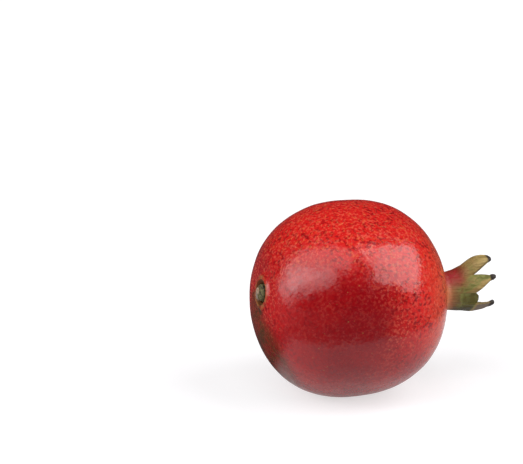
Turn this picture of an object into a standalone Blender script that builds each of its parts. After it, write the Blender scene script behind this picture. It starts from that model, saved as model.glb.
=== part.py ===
"""A whole pomegranate lying on its side, in metres and +Z up.

The fruit lies on a small flat spot, whose centre is the origin. Its calyx points along +X and its
stalk end along -X. Each form is first made in the fruit's own frame, with the body's centre at the
origin and the calyx up along +Z, and then laid down by lay_down.
"""

import math
import random
from typing import NamedTuple

import bmesh
import bpy
from mathutils import Matrix, Quaternion, Vector
from mathutils.geometry import interpolate_bezier

# The body: half its width, and the reach of each pole from the body's centre
HALF_WIDTH = 0.0418
CALYX_POLE = 0.0411
STALK_POLE = 0.0408
SQUARENESS = 2.32
RIB_COUNT = 6
RIB_RISE = 0.011
RIB_TURN = math.radians(54)
RIB_FADE = 4
FLAT_SPOT_CUT = 0.0005
BODY_RINGS = 26
RING_CROWDING = 1.5

# How the fruit lies: its calyx end sinks a little, and the calyx itself bends back to level
CENTRE_HEIGHT = HALF_WIDTH - FLAT_SPOT_CUT
SINK = math.radians(2.4)
BEND_START = 0.038
BEND_END = 0.048
BEND_PIVOT = 0.041

# The calyx: a thick-walled tube that ends in pointed lobes, measured from the body's centre
SHOULDER_ANGLE = math.radians(162.5)
SHOULDER_PULL = 0.0035
SLOPE_STEP = 0.01
NECK_RADIUS = 0.0082
NECK_HEIGHT = 0.0447
NECK_PULL = 0.0018
FILLET_POINTS = 6
HINGE_RADIUS = 0.0088
HINGE_HEIGHT = 0.0490
NOTCH_HEIGHT = 0.0552
LOBE_PLAN_TIP = 0.0640
LOBE_RADIUS = 0.0098
WALL = 0.0022
RIM_WALL = 0.0009
CUP_FLOOR = 0.0428
CUP_FLOOR_RADIUS = 0.0055
LOBE_NARROWING = 0.3
NOTCH_LEAN = math.radians(1)
NOTCH_BLEND = 4
LOW_PART = NOTCH_HEIGHT - HINGE_HEIGHT
LOBE_BLUNTING = 0.12
KNOB_START = 0.72
KNOB_FULL = 0.90
KNOB_MIDDLE = 0.95
TUBE_RINGS = 2
LOBE_RINGS = 8


class Lobe(NamedTuple):
    """One calyx lobe. Width, lean and twist are in degrees, and length counts from the notches.

    A positive curl turns the lobe's end outwards, and a high fullness makes its end blunt. The
    twist carries its end round the axis, and the knob is how far its withered tip swells.
    """

    width: float
    length: float
    lean: float
    curl: float
    fullness: float
    twist: float
    knob: float


FIRST_NOTCH = 161
LOBES = (
    Lobe(54.0, 0.0092, 32, -66, 2.2, 0, 0.00045),
    Lobe(47.5, 0.0083, 17, -26, 1.0, -8, 0.00085),
    Lobe(34.5, 0.0016, -5, 0, 4.0, 0, 0),
    Lobe(50.0, 0.0094, 0, -16, 3.0, -9, 0.00065),
    Lobe(58.0, 0.0080, 5, -10, 1.3, 5, 0.00040),
    Lobe(58.0, 0.0090, 12, -14, 1.4, 0, 0.00045),
    Lobe(58.0, 0.0050, 16, -20, 1.5, -4, 0.00030),
)
LOBE_COLUMNS = 8

# The stalk end: a shallow dimple round the woody stub, which stands in a socket
STALK_OFF_POLE = math.radians(9.4)
STALK_TURN = math.radians(200)
STALK_LEAN_REACH = math.radians(60)
DIMPLE_DEPTH = 0.0016
DIMPLE_SPREAD = math.radians(13)
COLLAR_RISE = 0.0012
COLLAR_ANGLE = math.radians(8.6)
COLLAR_SPREAD = math.radians(2.4)
STUB_RADIUS = 0.0039
STUB_SUNK = 0.0018
STUB_TOP = 0.0050
STUB_OUTLINE = (
    (0, STUB_TOP),
    (0.0009, STUB_TOP),
    (0.0012, 0.0046),
    (0.0014, 0.0040),
    (0.0027, 0.0038),
    (0.0035, 0.0033),
    (0.0036, 0.0026),
    (0.0035, 0.0021),
    (STUB_RADIUS, 0.0015),
    (STUB_RADIUS, 0),
    (0, 0),
)
STUB_ASIDE = 0.0007
STUB_ASIDE_FROM = 0.0024
STUB_SEGMENTS = 20
CLEARANCE = 0.0003

# The dried stamens: thin stalks with a small head each, round the dead style, on one low disc


class StamenRing(NamedTuple):
    """One ring of stamens: its radius on the disc, how many it has, and how long they are."""

    radius: float
    count: int
    length: float


DISC_RADIUS = CUP_FLOOR_RADIUS - CLEARANCE
DISC_EDGE = 0.0012
DISC_CROWN = 0.0019
DISC_SEGMENTS = 24
STAMEN_RINGS = (
    StamenRing(0.0043, 15, 0.0080),
    StamenRing(0.0030, 11, 0.0070),
    StamenRing(0.0017, 6, 0.0060),
)
STAMEN_RADIUS = 0.00038
STAMEN_TAPER = 0.3
STAMEN_BOW = 0.12
STAMEN_SPREAD = (-0.0006, 0.0009)
STAMEN_SHORTEST = 0.86
STAMEN_STRAY = 0.15
STAMEN_POINTS = 6
HEAD_RADIUS = 0.00062
HEAD_TIP = 0.45
STYLE_RADIUS = 0.00065
STYLE_TIP = (0.0004, -0.0003, 0.0085)
STAMEN_SEED = 8

SHARP_ANGLE = math.radians(40)
MERGE = 0.00001


def smooth_step(low, high, value):
    """0 below low, 1 above high, and a smooth rise between them."""
    share = min(1.0, max(0.0, (value - low) / (high - low)))
    return share * share * (3 - 2 * share)


def body_reach(angle):
    """The distance from the body's centre to its skin, at an angle from the stalk pole."""
    pole = STALK_POLE if angle < math.pi / 2 else CALYX_POLE
    across = abs(math.sin(angle)) / HALF_WIDTH
    along = abs(math.cos(angle)) / pole
    return (across**SQUARENESS + along**SQUARENESS) ** (-1 / SQUARENESS)


def body_point(angle):
    """The point of the body's side view, as radius and height, at an angle from the stalk pole."""
    reach = body_reach(angle)
    return Vector((reach * math.sin(angle), -reach * math.cos(angle)))


def straight(start, end, steps):
    """Points evenly spaced on a straight run, without its start."""
    return [start.lerp(end, (i + 1) / steps) for i in range(steps)]


def wall_at(height):
    """The thickness of the calyx wall, which thins from the notches to the lobes' tips."""
    return WALL + (RIM_WALL - WALL) * smooth_step(NOTCH_HEIGHT, LOBE_PLAN_TIP, height)


def fruit_profile():
    """The outline that is turned into body, calyx and cup, from the cup's floor to the stalk pole."""
    crowded = [(i / BODY_RINGS) ** RING_CROWDING for i in range(BODY_RINGS + 1)]
    body = [body_point(SHOULDER_ANGLE * share) for share in crowded]
    shoulder = body[-1]
    slope = (shoulder - body_point(SHOULDER_ANGLE - SLOPE_STEP)).normalized()
    neck = Vector((NECK_RADIUS, NECK_HEIGHT))
    pulled = (shoulder + slope * SHOULDER_PULL, neck - Vector((0, NECK_PULL)))
    corners = [point.to_3d() for point in (shoulder, *pulled, neck)]
    fillet = [point.to_2d() for point in interpolate_bezier(*corners, FILLET_POINTS)]

    hinge = Vector((HINGE_RADIUS, HINGE_HEIGHT))
    lip_base = Vector((LOBE_RADIUS, LOBE_PLAN_TIP - RIM_WALL / 2))
    outer = straight(neck, hinge, TUBE_RINGS) + straight(hinge, lip_base, LOBE_RINGS)
    lip = Vector((LOBE_RADIUS - RIM_WALL / 2, LOBE_PLAN_TIP))
    inner = [point - Vector((wall_at(point.y), 0)) for point in reversed([neck, *outer])]
    floor = [Vector((CUP_FLOOR_RADIUS, CUP_FLOOR)), Vector((0, CUP_FLOOR))]
    upward = body + fillet[1:] + outer + [lip] + inner + floor
    return upward[::-1]


def turned_mesh(name, profile, steps):
    """The mesh of a profile of (radius, height) points turned about Z."""
    outline = bpy.data.meshes.new(name + "_outline")
    points = [(radius, 0, height) for radius, height in profile]
    outline.from_pydata(points, [(i, i + 1) for i in range(len(points) - 1)], [])
    helper = bpy.data.objects.new(name + "_outline", outline)
    bpy.context.scene.collection.objects.link(helper)
    screw = helper.modifiers.new("turn", "SCREW")
    screw.axis = "Z"
    screw.steps = steps
    screw.render_steps = steps
    screw.use_merge_vertices = True
    screw.merge_threshold = MERGE
    mesh = evaluated_mesh(helper)
    mesh.name = name
    return mesh


def evaluated_mesh(helper):
    """The mesh of an object with its modifiers applied. The object is removed."""
    graph = bpy.context.evaluated_depsgraph_get()
    mesh = bpy.data.meshes.new_from_object(helper.evaluated_get(graph))
    bpy.data.objects.remove(helper)
    return mesh


def reshape(mesh, *forms):
    """Moves each vertex of a mesh through one form after another."""
    for vertex in mesh.vertices:
        for form in forms:
            vertex.co = form(vertex.co.copy())
    mesh.update()


def stalk_direction():
    """The direction of the stalk stub from the body's centre, off the pole and towards the top."""
    sideways = math.sin(STALK_OFF_POLE)
    return Vector(
        (
            sideways * math.cos(STALK_TURN),
            sideways * math.sin(STALK_TURN),
            -math.cos(STALK_OFF_POLE),
        )
    )


def stalk_form(point):
    """Slides the rings of the stalk end along the skin, so that they run round the stalk."""
    pole = Vector((0, 0, -1))
    share = 1 - smooth_step(0, STALK_LEAN_REACH, point.angle(pole))
    if share == 0:
        return point
    slide = Quaternion().slerp(pole.rotation_difference(stalk_direction()), share)
    towards = slide @ point.normalized()
    return towards * body_reach(towards.angle(pole))


def skin_form(point):
    """Gives the turned body its low ribs, and the dimple and collar round the stalk."""
    reach = point.length
    turn = math.atan2(point.y, point.x)
    roundness = math.hypot(point.x, point.y) / reach
    swell = 1 + RIB_RISE * math.cos(RIB_COUNT * (turn - RIB_TURN)) * roundness**RIB_FADE
    off_stalk = point.angle(stalk_direction())
    dimple = DIMPLE_DEPTH * math.exp(-((off_stalk / DIMPLE_SPREAD) ** 2))
    collar = COLLAR_RISE * math.exp(-(((off_stalk - COLLAR_ANGLE) / COLLAR_SPREAD) ** 2))
    return point * (swell + (collar - dimple) / reach)


def lobe_top(lobe, edge):
    """How high a lobe reaches, as a share of its length, from its middle to its edge at 1."""
    eased = math.hypot(edge, LOBE_BLUNTING) - LOBE_BLUNTING
    eased /= math.hypot(1, LOBE_BLUNTING) - LOBE_BLUNTING
    return 1 - eased**lobe.fullness


def on_lobe(index, across, radius, height):
    """Where a point comes to lie at a height above the hinge, across a lobe from -1 to 1."""
    lobe = LOBES[index]
    narrow, twist = 1, 0
    if height > 0:
        free = max(0.0, height - LOW_PART)
        lean = math.radians(lobe.lean)
        lean += (NOTCH_LEAN - lean) * abs(across) ** NOTCH_BLEND
        radius += height * math.tan(lean) + lobe.curl * free**2
        narrow -= LOBE_NARROWING * free / lobe.length
        twist = lobe.twist * free / lobe.length
    before = FIRST_NOTCH + sum(other.width for other in LOBES[:index])
    turn = math.radians(before + lobe.width * (1 + across * narrow) / 2 + twist)
    return Vector((radius * math.cos(turn), radius * math.sin(turn), HINGE_HEIGHT + height))


def lobe_form(point):
    """Shares the turn out among the uneven lobes, and shapes what is above the hinge into them."""
    share = math.atan2(point.y, point.x) / math.tau % 1 * len(LOBES)
    index = min(int(share + MERGE), len(LOBES) - 1)
    lobe = LOBES[index]
    across = 2 * (share - index) - 1
    height = point.z - HINGE_HEIGHT
    if height > 0:
        reach = LOW_PART + lobe.length * lobe_top(lobe, abs(across))
        height *= reach / (LOBE_PLAN_TIP - HINGE_HEIGHT)
    placed = on_lobe(index, across, math.hypot(point.x, point.y), height)

    swell = lobe.knob * smooth_step(KNOB_START, KNOB_FULL, (height - LOW_PART) / lobe.length)
    if swell > 0:
        tip = LOW_PART + KNOB_MIDDLE * lobe.length
        middle = on_lobe(index, 0, LOBE_RADIUS - RIM_WALL / 2, tip)
        placed += (placed - middle).normalized() * swell
    return placed


def calyx_bend(point):
    """Bends what lies past the neck back up, so that the calyx lies level on the sunk body."""
    lift = SINK * smooth_step(BEND_START, BEND_END, point.z)
    pivot = Vector((0, 0, BEND_PIVOT))
    return Matrix.Rotation(-lift, 3, "Y") @ (point - pivot) + pivot


def lay_down(part):
    """Lays an object down from the fruit's own frame: calyx along +X, body centre over the origin."""
    part.rotation_euler = (0, math.pi / 2 + SINK, 0)
    part.location = (0, 0, CENTRE_HEIGHT)


def material(name, colour, roughness):
    """A plain opaque material."""
    made = bpy.data.materials.new(name)
    made.use_nodes = True
    shader = made.node_tree.nodes["Principled BSDF"]
    shader.inputs["Base Color"].default_value = (*colour, 1)
    shader.inputs["Roughness"].default_value = roughness
    shader.inputs["Metallic"].default_value = 0
    return made


def place(name, mesh, collection, finish=None):
    """Adds a mesh to a collection as a smooth-shaded object."""
    mesh.shade_smooth()
    mesh.set_sharp_from_angle(angle=SHARP_ANGLE)
    part = bpy.data.objects.new(name, mesh)
    collection.objects.link(part)
    if finish:
        mesh.materials.clear()
        mesh.materials.append(finish)
    return part


def cut(part, cutter):
    """Cuts a hidden helper out of a part."""
    cutter.hide_render = True
    cutter.display_type = "WIRE"
    boolean = part.modifiers.new("cut_" + cutter.name, "BOOLEAN")
    boolean.operation = "DIFFERENCE"
    boolean.solver = "EXACT"
    boolean.object = cutter


def stub_matrix(depth):
    """The frame of the stub, in the fruit's own frame: +Z outwards, at a depth below the skin."""
    outwards = stalk_direction()
    seat = body_reach(STALK_OFF_POLE) - DIMPLE_DEPTH - depth
    return Matrix.Translation(outwards * seat) @ outwards.to_track_quat("Z", "Y").to_matrix().to_4x4()


def make_fruit(parts, cutters):
    """The rind: body, calyx tube and lobes, grown as one piece, with its flat spot and socket."""
    mesh = turned_mesh("fruit", fruit_profile(), LOBE_COLUMNS * len(LOBES))
    reshape(mesh, lobe_form, stalk_form, skin_form, calyx_bend)
    fruit = place("fruit", mesh, parts, material("red_rind", (0.45, 0.03, 0.03), 0.35))
    lay_down(fruit)

    floor = bmesh.new()
    bmesh.ops.create_cube(floor, size=2 * HALF_WIDTH)
    bmesh.ops.translate(floor, verts=floor.verts, vec=(0, 0, -HALF_WIDTH))
    cut(fruit, helper("flat_spot", floor, cutters))

    socket = bmesh.new()
    bmesh.ops.create_cone(
        socket,
        cap_ends=True,
        segments=STUB_SEGMENTS,
        radius1=STUB_RADIUS + CLEARANCE,
        radius2=STUB_RADIUS + CLEARANCE,
        depth=2 * (STUB_SUNK + CLEARANCE + COLLAR_RISE),
        matrix=stub_matrix(-COLLAR_RISE),
    )
    hole = helper("stub_socket", socket, cutters)
    lay_down(hole)
    cut(fruit, hole)


def helper(name, form, cutters):
    """A cutter made from a bmesh."""
    mesh = bpy.data.meshes.new(name)
    form.to_mesh(mesh)
    form.free()
    return place(name, mesh, cutters)


def stub_lean(point):
    """Carries the stub's cut end towards the top of the lying fruit."""
    upwards = stub_matrix(STUB_SUNK).to_3x3().inverted() @ Vector((-1, 0, 0))
    upwards.z = 0
    return point + upwards.normalized() * STUB_ASIDE * smooth_step(STUB_ASIDE_FROM, STUB_TOP, point.z)


def make_stem_stub(parts):
    """The woody stub of the stalk, cut off just above the skin."""
    mesh = turned_mesh("stem_stub", STUB_OUTLINE, STUB_SEGMENTS)
    reshape(mesh, stub_lean)
    mesh.transform(stub_matrix(STUB_SUNK))
    stub = place("stem_stub", mesh, parts, material("stalk_wood", (0.16, 0.12, 0.06), 0.8))
    lay_down(stub)


def add_strand(foot, tip, radius, head_radius, strands):
    """One stalk from foot to tip that bows outwards, and thickens to a head below its tip."""
    data = bpy.data.curves.new("strand", "CURVE")
    data.dimensions = "3D"
    data.bevel_depth = radius
    data.bevel_resolution = 0
    data.use_fill_caps = True
    spline = data.splines.new("POLY")
    spline.points.add(STAMEN_POINTS - 1)
    bow = Vector((foot.x, foot.y, 0)) * STAMEN_BOW
    for i, point in enumerate(spline.points):
        share = i / (STAMEN_POINTS - 1)
        centre = foot.lerp(tip, share) + bow * math.sin(math.pi * share)
        point.co = (*centre, 1)
        point.radius = 1 - STAMEN_TAPER * share
    spline.points[-2].radius = head_radius / radius
    spline.points[-1].radius = HEAD_TIP
    curve = bpy.data.objects.new("strand", data)
    strands.objects.link(curve)
    mesh = evaluated_mesh(curve)
    form = bmesh.new()
    form.from_mesh(mesh)
    bmesh.ops.remove_doubles(form, verts=form.verts, dist=MERGE)
    form.to_mesh(mesh)
    form.free()
    strands.objects.link(bpy.data.objects.new("strand", mesh))


def add_strands(base, strands):
    """The rings of stamens and the style, with their feet sunk in the disc."""
    draw = random.Random(STAMEN_SEED)
    root = Vector((0, 0, base + DISC_EDGE / 2))
    for ring in STAMEN_RINGS:
        for i in range(ring.count):
            turn = math.tau * (i + draw.uniform(-STAMEN_STRAY, STAMEN_STRAY)) / ring.count
            outwards = Vector((math.cos(turn), math.sin(turn), 0))
            spread = ring.radius + draw.uniform(*STAMEN_SPREAD)
            length = ring.length * draw.uniform(STAMEN_SHORTEST, 1)
            tip = outwards * spread + Vector((0, 0, base + length))
            add_strand(root + outwards * ring.radius, tip, STAMEN_RADIUS, HEAD_RADIUS, strands)
    top = Vector(STYLE_TIP) + Vector((0, 0, base))
    add_strand(root, top, STYLE_RADIUS, STYLE_RADIUS, strands)


def make_stamens(parts):
    """The dried stamens round the dead style, joined to the low disc on the cup's floor."""
    base = CUP_FLOOR + CLEARANCE
    strands = new_collection("strands")
    add_strands(base, strands)

    disc = [(0, DISC_CROWN), (DISC_RADIUS, DISC_EDGE), (DISC_RADIUS, 0), (0, 0)]
    mesh = turned_mesh("disc", [(r, base + h) for r, h in disc], DISC_SEGMENTS)
    tuft = place("disc", mesh, parts)
    join = tuft.modifiers.new("join", "BOOLEAN")
    join.operation = "UNION"
    join.operand_type = "COLLECTION"
    join.collection = strands
    join.solver = "MANIFOLD"
    joined = evaluated_mesh(tuft)
    for strand in list(strands.objects):
        bpy.data.objects.remove(strand)
    bpy.data.collections.remove(strands)

    reshape(joined, calyx_bend)
    joined.name = "stamens"
    stamens = place("stamens", joined, parts, material("dry_stamens", (0.23, 0.13, 0.05), 0.85))
    lay_down(stamens)


def new_collection(name):
    """A collection in the scene."""
    made = bpy.data.collections.new(name)
    bpy.context.scene.collection.children.link(made)
    return made


def main():
    """Clears the scene and builds the pomegranate."""
    for old in list(bpy.data.objects):
        bpy.data.objects.remove(old)
    parts = new_collection("pomegranate")
    cutters = new_collection("cutters")
    make_fruit(parts, cutters)
    make_stem_stub(parts)
    make_stamens(parts)


main()
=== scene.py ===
"""A pomegranate that lies on its side on a pale floor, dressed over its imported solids.

Lengths are in metres and +Z is up. The rind, the stalk stub and the stamens are first made in the
fruit's own frame, with the body's centre at the origin and the calyx up along +Z. They are then
laid down on the flat spot, with the calyx along +X.
"""

import logging
import math
import random
from collections.abc import Callable, Iterable
from dataclasses import dataclass
from enum import Enum

import bmesh
import bpy
from mathutils import Matrix, Quaternion, Vector, noise
from mathutils.geometry import interpolate_bezier


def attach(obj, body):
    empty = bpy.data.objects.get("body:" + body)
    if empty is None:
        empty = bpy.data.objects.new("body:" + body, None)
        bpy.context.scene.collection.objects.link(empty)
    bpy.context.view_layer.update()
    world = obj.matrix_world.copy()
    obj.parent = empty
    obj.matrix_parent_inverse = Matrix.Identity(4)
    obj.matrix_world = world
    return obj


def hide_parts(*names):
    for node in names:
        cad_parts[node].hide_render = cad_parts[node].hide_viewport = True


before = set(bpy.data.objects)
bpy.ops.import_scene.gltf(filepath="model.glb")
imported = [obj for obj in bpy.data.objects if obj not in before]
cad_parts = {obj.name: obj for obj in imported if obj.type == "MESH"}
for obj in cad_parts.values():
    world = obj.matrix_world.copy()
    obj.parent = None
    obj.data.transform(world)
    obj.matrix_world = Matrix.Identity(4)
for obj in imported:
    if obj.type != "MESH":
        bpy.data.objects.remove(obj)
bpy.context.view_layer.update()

log = logging.getLogger("pomegranate")

Colour = tuple[float, float, float]
Way = tuple[float, float, float]
Span = tuple[float, float]
Form = Callable[[Vector], Vector]
Socket = bpy.types.NodeSocket

MERGE = 0.00001


class Body(Enum):
    """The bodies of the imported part. Nothing on a pomegranate moves, so there is one."""

    ROOT = "root"


class Node(Enum):
    """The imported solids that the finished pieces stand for."""

    FRUIT = "fruit"
    STEM_STUB = "stem_stub"
    STAMENS = "stamens"


class Slot(Enum):
    """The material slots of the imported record."""

    RIND = "rind"
    STALK = "stalk"
    DRY_STAMENS = "dry_stamens"


class Mark(Enum):
    """What is stored on the vertices for the finishes to read."""

    HEIGHT = "calyx_height"
    TIP = "lobe_tip"
    EDGE = "lobe_edge"
    GREEN = "lobe_green"
    INSIDE = "cup_inside"
    CUT = "cut_face"
    HEAD = "stamen_head"


def smooth_step(low: float, high: float, value: float) -> float:
    """A smooth rise from 0 to 1.

    Args:
        low: Where the rise starts.
        high: Where it ends.
        value: Where to read it.

    Returns:
        0 below low, 1 above high, and the rise between them.
    """
    share = min(1.0, max(0.0, (value - low) / (high - low)))
    return share * share * (3 - 2 * share)


def rippled(around: Vector, height: float, waves: tuple[tuple[float, float, float], ...]) -> float:
    """Random ripples that run along an axis.

    Args:
        around: The direction from the axis.
        height: How high up the axis.
        waves: For each layer of ripples its strength, its fineness and its length.

    Returns:
        Their sum, which is as often above 0 as below.
    """
    return sum(
        strength * noise.noise(around * fineness + Vector((0, 0, height / length)))
        for strength, fineness, length in waves
    )


def rounded(outline: list[Vector], rounds: int) -> list[Vector]:
    """Cuts the corners of an open outline again and again, so that they become round.

    Args:
        outline: The points of the outline.
        rounds: How many times each corner is cut.

    Returns:
        The denser outline, with the same two ends.
    """
    for _ in range(rounds):
        denser = [outline[0]]
        for start, end in zip(outline, outline[1:]):
            denser += [start.lerp(end, 0.25), start.lerp(end, 0.75)]
        outline = [*denser, outline[-1]]
    return outline


@dataclass(frozen=True)
class Lobe:
    """One calyx lobe. Its length counts from the notches beside it.

    Width, lean and twist are in degrees. A positive curl turns the lobe's end outwards, a high
    fullness makes it blunt, and the twist carries it round the axis. The knob is how far its
    withered tip swells. Green is how fresh it still is, from -1 for grey and 0 for brown to 1,
    and tube_green is the same for the tube below it. A dry_side of 1 makes one side brown.
    """

    width: float
    length: float
    lean: float
    curl: float
    fullness: float
    twist: float
    knob: float
    green: float
    tube_green: float
    dry_side: float


@dataclass(frozen=True)
class FruitShape:
    """The sizes of the fruit, and the forms that bend a plainly turned mesh into it.

    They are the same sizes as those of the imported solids.
    """

    half_width: float = 0.0418
    calyx_pole: float = 0.0411
    stalk_pole: float = 0.0408
    squareness: float = 2.32
    rib_count: int = 6
    rib_rise: float = 0.011
    rib_turn: float = math.radians(54)
    rib_fade: int = 4
    flat_spot_cut: float = 0.0005

    sink: float = math.radians(2.4)
    bend_start: float = 0.038
    bend_end: float = 0.048
    bend_pivot: float = 0.041

    hinge_height: float = 0.0490
    notch_height: float = 0.0552
    plan_tip: float = 0.0640
    lobe_narrowing: float = 0.3
    lobe_blunting: float = 0.12
    notch_lean: float = math.radians(1)
    notch_blend: int = 4
    first_notch: float = 161
    lobes: tuple[Lobe, ...] = (
        Lobe(54.0, 0.0092, 32, -66, 2.2, 0, 0.00045, 0.00, 0.05, 0),
        Lobe(47.5, 0.0083, 17, -26, 1.0, -8, 0.00085, 0.60, 0.40, 1),
        Lobe(34.5, 0.0016, -5, 0, 4.0, 0, 0, 0.95, 1.00, 0),
        Lobe(50.0, 0.0094, 0, -16, 3.0, -9, 0.00065, -1.00, 1.00, 0),
        Lobe(58.0, 0.0080, 5, -10, 1.3, 5, 0.00040, 0.30, 0.60, 0.5),
        Lobe(58.0, 0.0090, 12, -14, 1.4, 0, 0.00045, 0.10, 0.20, 0),
        Lobe(58.0, 0.0050, 16, -20, 1.5, -4, 0.00030, 0.40, 0.25, 1),
    )

    stalk_off_pole: float = math.radians(9.4)
    stalk_turn: float = math.radians(200)
    stalk_lean_reach: float = math.radians(60)
    dimple_depth: float = 0.0016
    dimple_spread: float = math.radians(13)
    collar_rise: float = 0.0012
    collar_angle: float = math.radians(8.6)
    collar_spread: float = math.radians(2.4)

    @property
    def centre_height(self) -> float:
        """How high the body's centre is above the floor."""
        return self.half_width - self.flat_spot_cut

    @property
    def centre(self) -> Vector:
        """The body's centre, once it is laid down."""
        return Vector((0, 0, self.centre_height))

    @property
    def laid_down(self) -> Matrix:
        """Takes the fruit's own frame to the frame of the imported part."""
        lean = Matrix.Rotation(math.pi / 2 + self.sink, 4, "Y")
        return Matrix.Translation(self.centre) @ lean

    @property
    def stalk_direction(self) -> Vector:
        """The direction of the stalk from the body's centre, in the fruit's own frame."""
        sideways = math.sin(self.stalk_off_pole)
        return Vector(
            (
                sideways * math.cos(self.stalk_turn),
                sideways * math.sin(self.stalk_turn),
                -math.cos(self.stalk_off_pole),
            )
        )

    def body_reach(self, angle: float) -> float:
        """How far the skin is from the body's centre.

        Args:
            angle: The angle from the stalk pole.

        Returns:
            The distance along that direction.
        """
        pole = self.stalk_pole if angle < math.pi / 2 else self.calyx_pole
        across = abs(math.sin(angle)) / self.half_width
        along = abs(math.cos(angle)) / pole
        return (across**self.squareness + along**self.squareness) ** (-1 / self.squareness)

    def body_point(self, angle: float) -> Vector:
        """A point of the body's side view.

        Args:
            angle: The angle from the stalk pole.

        Returns:
            Its radius and its height.
        """
        reach = self.body_reach(angle)
        return Vector((reach * math.sin(angle), -reach * math.cos(angle)))

    def lobe_at(self, point: Vector) -> tuple[int, float]:
        """The lobe that a point of the turned mesh belongs to.

        Args:
            point: A point of the turned mesh, whose turn the lobes still share evenly.

        Returns:
            The lobe's number, and how far across it the point is, from -1 to 1.
        """
        share = math.atan2(point.y, point.x) / math.tau % 1 * len(self.lobes)
        index = min(int(share + MERGE), len(self.lobes) - 1)
        return index, 2 * (share - index) - 1

    def lobe_top(self, lobe: Lobe, edge: float) -> float:
        """How high a lobe reaches between its middle and its edge.

        Args:
            lobe: The lobe.
            edge: How far from its middle, from 0 to 1.

        Returns:
            The share of its length, from 1 in the middle to 0 at the notch.
        """
        blunting = self.lobe_blunting
        eased = (math.hypot(edge, blunting) - blunting) / (math.hypot(1, blunting) - blunting)
        return 1 - eased**lobe.fullness

    def tube_green(self, index: int, across: float) -> float:
        """How green the tube is below a lobe, with no step at the notches.

        Args:
            index: The lobe's number.
            across: How far across it, from -1 to 1.

        Returns:
            A share from 0 to 1.
        """
        beside = self.lobes[(index + (1 if across > 0 else -1)) % len(self.lobes)].tube_green
        own = self.lobes[index].tube_green
        return own + (beside - own) * abs(across) / 2

    def lobe_form(self, point: Vector) -> Vector:
        """Shares the turn out among the uneven lobes, and shapes them above the hinge.

        Args:
            point: A point of the turned mesh.

        Returns:
            Where it moves.
        """
        index, across = self.lobe_at(point)
        lobe = self.lobes[index]
        radius = math.hypot(point.x, point.y)
        height = point.z - self.hinge_height
        narrow, twist = 1.0, 0.0
        if height > 0:
            edge = min(1.0, abs(across))
            low_part = self.notch_height - self.hinge_height
            reach = low_part + lobe.length * self.lobe_top(lobe, edge)
            height *= reach / (self.plan_tip - self.hinge_height)
            free = max(0.0, height - low_part)
            lean = math.radians(lobe.lean)
            lean += (self.notch_lean - lean) * edge**self.notch_blend
            radius += height * math.tan(lean) + lobe.curl * free**2
            narrow -= self.lobe_narrowing * free / lobe.length
            twist = lobe.twist * free / lobe.length
        before = self.first_notch + sum(other.width for other in self.lobes[:index])
        turn = math.radians(before + lobe.width * (1 + across * narrow) / 2 + twist)
        return Vector(
            (radius * math.cos(turn), radius * math.sin(turn), self.hinge_height + height)
        )

    def stalk_form(self, point: Vector) -> Vector:
        """Slides the rings of the stalk end along the skin, so that they run round the stalk.

        Args:
            point: A point of the fruit, on the skin or below it.

        Returns:
            Where it moves, as far below the skin as it was.
        """
        pole = Vector((0, 0, -1))
        from_pole = point.angle(pole)
        share = 1 - smooth_step(0, self.stalk_lean_reach, from_pole)
        if share == 0:
            return point
        slide = Quaternion().slerp(pole.rotation_difference(self.stalk_direction), share)
        towards = slide @ point.normalized()
        depth = point.length / self.body_reach(from_pole)
        return towards * self.body_reach(towards.angle(pole)) * depth

    def skin_form(self, point: Vector) -> Vector:
        """Gives the body its low ribs, and the dimple and the collar round the stalk.

        Args:
            point: A point of the fruit.

        Returns:
            Where it moves.
        """
        reach = point.length
        turn = math.atan2(point.y, point.x)
        roundness = math.hypot(point.x, point.y) / reach
        wave = math.cos(self.rib_count * (turn - self.rib_turn))
        swell = 1 + self.rib_rise * wave * roundness**self.rib_fade
        off_stalk = point.angle(self.stalk_direction)
        dimple = self.dimple_depth * math.exp(-((off_stalk / self.dimple_spread) ** 2))
        off_collar = (off_stalk - self.collar_angle) / self.collar_spread
        collar = self.collar_rise * math.exp(-(off_collar**2))
        return point * (swell + (collar - dimple) / reach)

    def calyx_bend(self, point: Vector) -> Vector:
        """Bends what lies past the neck, so that the calyx is level on the sunk body.

        Args:
            point: A point of the fruit.

        Returns:
            Where it moves.
        """
        lift = self.sink * smooth_step(self.bend_start, self.bend_end, point.z)
        pivot = Vector((0, 0, self.bend_pivot))
        return Matrix.Rotation(-lift, 3, "Y") @ (point - pivot) + pivot

    def stub_seat(self, depth: float) -> Matrix:
        """The frame of the stalk stub, in the fruit's own frame, with +Z outwards.

        Args:
            depth: How far its origin lies below the dimple's skin.

        Returns:
            The frame.
        """
        outwards = self.stalk_direction
        seat = self.body_reach(self.stalk_off_pole) - self.dimple_depth - depth
        turned = outwards.to_track_quat("Z", "Y").to_matrix().to_4x4()
        return Matrix.Translation(outwards * seat) @ turned


def turned(outline: Iterable[Vector], steps: int, marks: dict[Mark, list[float]]) -> bmesh.types.BMesh:
    """Turns an outline about Z into a closed shell.

    Args:
        outline: Points of radius and height, from one pole to the other.
        steps: How many columns the shell has.
        marks: What each point of the outline carries, by mark.

    Returns:
        The shell, with its marks stored on its vertices.
    """
    shell = bmesh.new()
    layers = {mark: shell.verts.layers.float.new(mark.value) for mark in marks}
    points = [shell.verts.new((radius, 0, height)) for radius, height in outline]
    for mark, layer in layers.items():
        for point, value in zip(points, marks[mark]):
            point[layer] = value
    edges = [shell.edges.new(pair) for pair in zip(points, points[1:])]
    bmesh.ops.spin(
        shell,
        geom=[*points, *edges],
        cent=(0, 0, 0),
        axis=(0, 0, 1),
        dvec=(0, 0, 0),
        angle=math.tau,
        steps=steps,
        use_merge=True,
        use_normal_flip=False,
        use_duplicate=False,
    )
    bmesh.ops.remove_doubles(shell, verts=shell.verts, dist=MERGE)
    bmesh.ops.recalc_face_normals(shell, faces=shell.faces)
    return shell


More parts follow.
